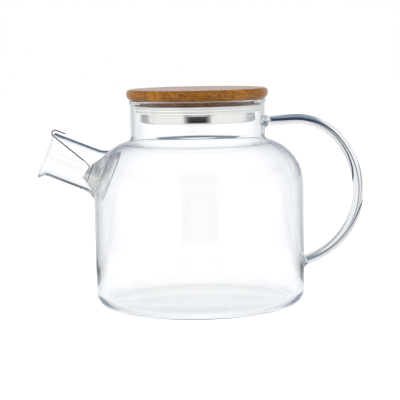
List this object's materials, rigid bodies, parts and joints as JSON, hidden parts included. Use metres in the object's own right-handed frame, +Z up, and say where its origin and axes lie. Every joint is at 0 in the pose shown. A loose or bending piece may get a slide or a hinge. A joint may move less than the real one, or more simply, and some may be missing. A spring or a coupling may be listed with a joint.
{
  "type": "glass teapot",
  "caption": "Clear glass teapot with a straight spout, a bent rod handle, a bamboo lid with a sealing ring, and a coiled wire filter in the spout.",
  "frame": {"origin": "centre of the resting ring under the base, on the table", "axes": "+Z up, -X along the spout, +X towards the handle"},
  "size_m": [0.2098, 0.135, 0.139],
  "materials": {
    "glass": "clear blown borosilicate, fire polished",
    "bamboo": "caramelised laminated bamboo, sanded and lightly oiled",
    "silicone": "translucent silicone",
    "cap_steel": "pressed stainless steel, polished",
    "wire_steel": "drawn stainless steel wire"
  },
  "bodies": {
    "pot": {"glass_bottom": "glass", "glass_wall": "glass", "glass_shoulder": "glass", "glass_neck": "glass", "spout_tube": "glass", "handle_rod": "glass", "upper_handle_gather": "glass", "lower_handle_gather": "glass"},
    "seal": {"lid_seal": "silicone"},
    "lid": {"bamboo_lid": "bamboo", "lid_steel_cap": "cap_steel"},
    "filter": {"spout_filter": "wire_steel"}
  },
  "joints": [
    {"name": "lid_lift", "type": "slide", "parent": "pot", "child": "seal", "axis": [0, 0, 1], "range_m": [0, 0.045]},
    {"name": "lid_turn", "type": "hinge", "parent": "seal", "child": "lid", "pos_m": [0, 0, 0.13], "axis": [0, 0, 1], "continuous": true},
    {"name": "filter_turn", "type": "hinge", "parent": "pot", "child": "filter", "pos_m": [-0.0675, 0, 0.0877], "axis": [-0.9272, 0, 0.3746], "range_deg": [-90, 90]}
  ]
}
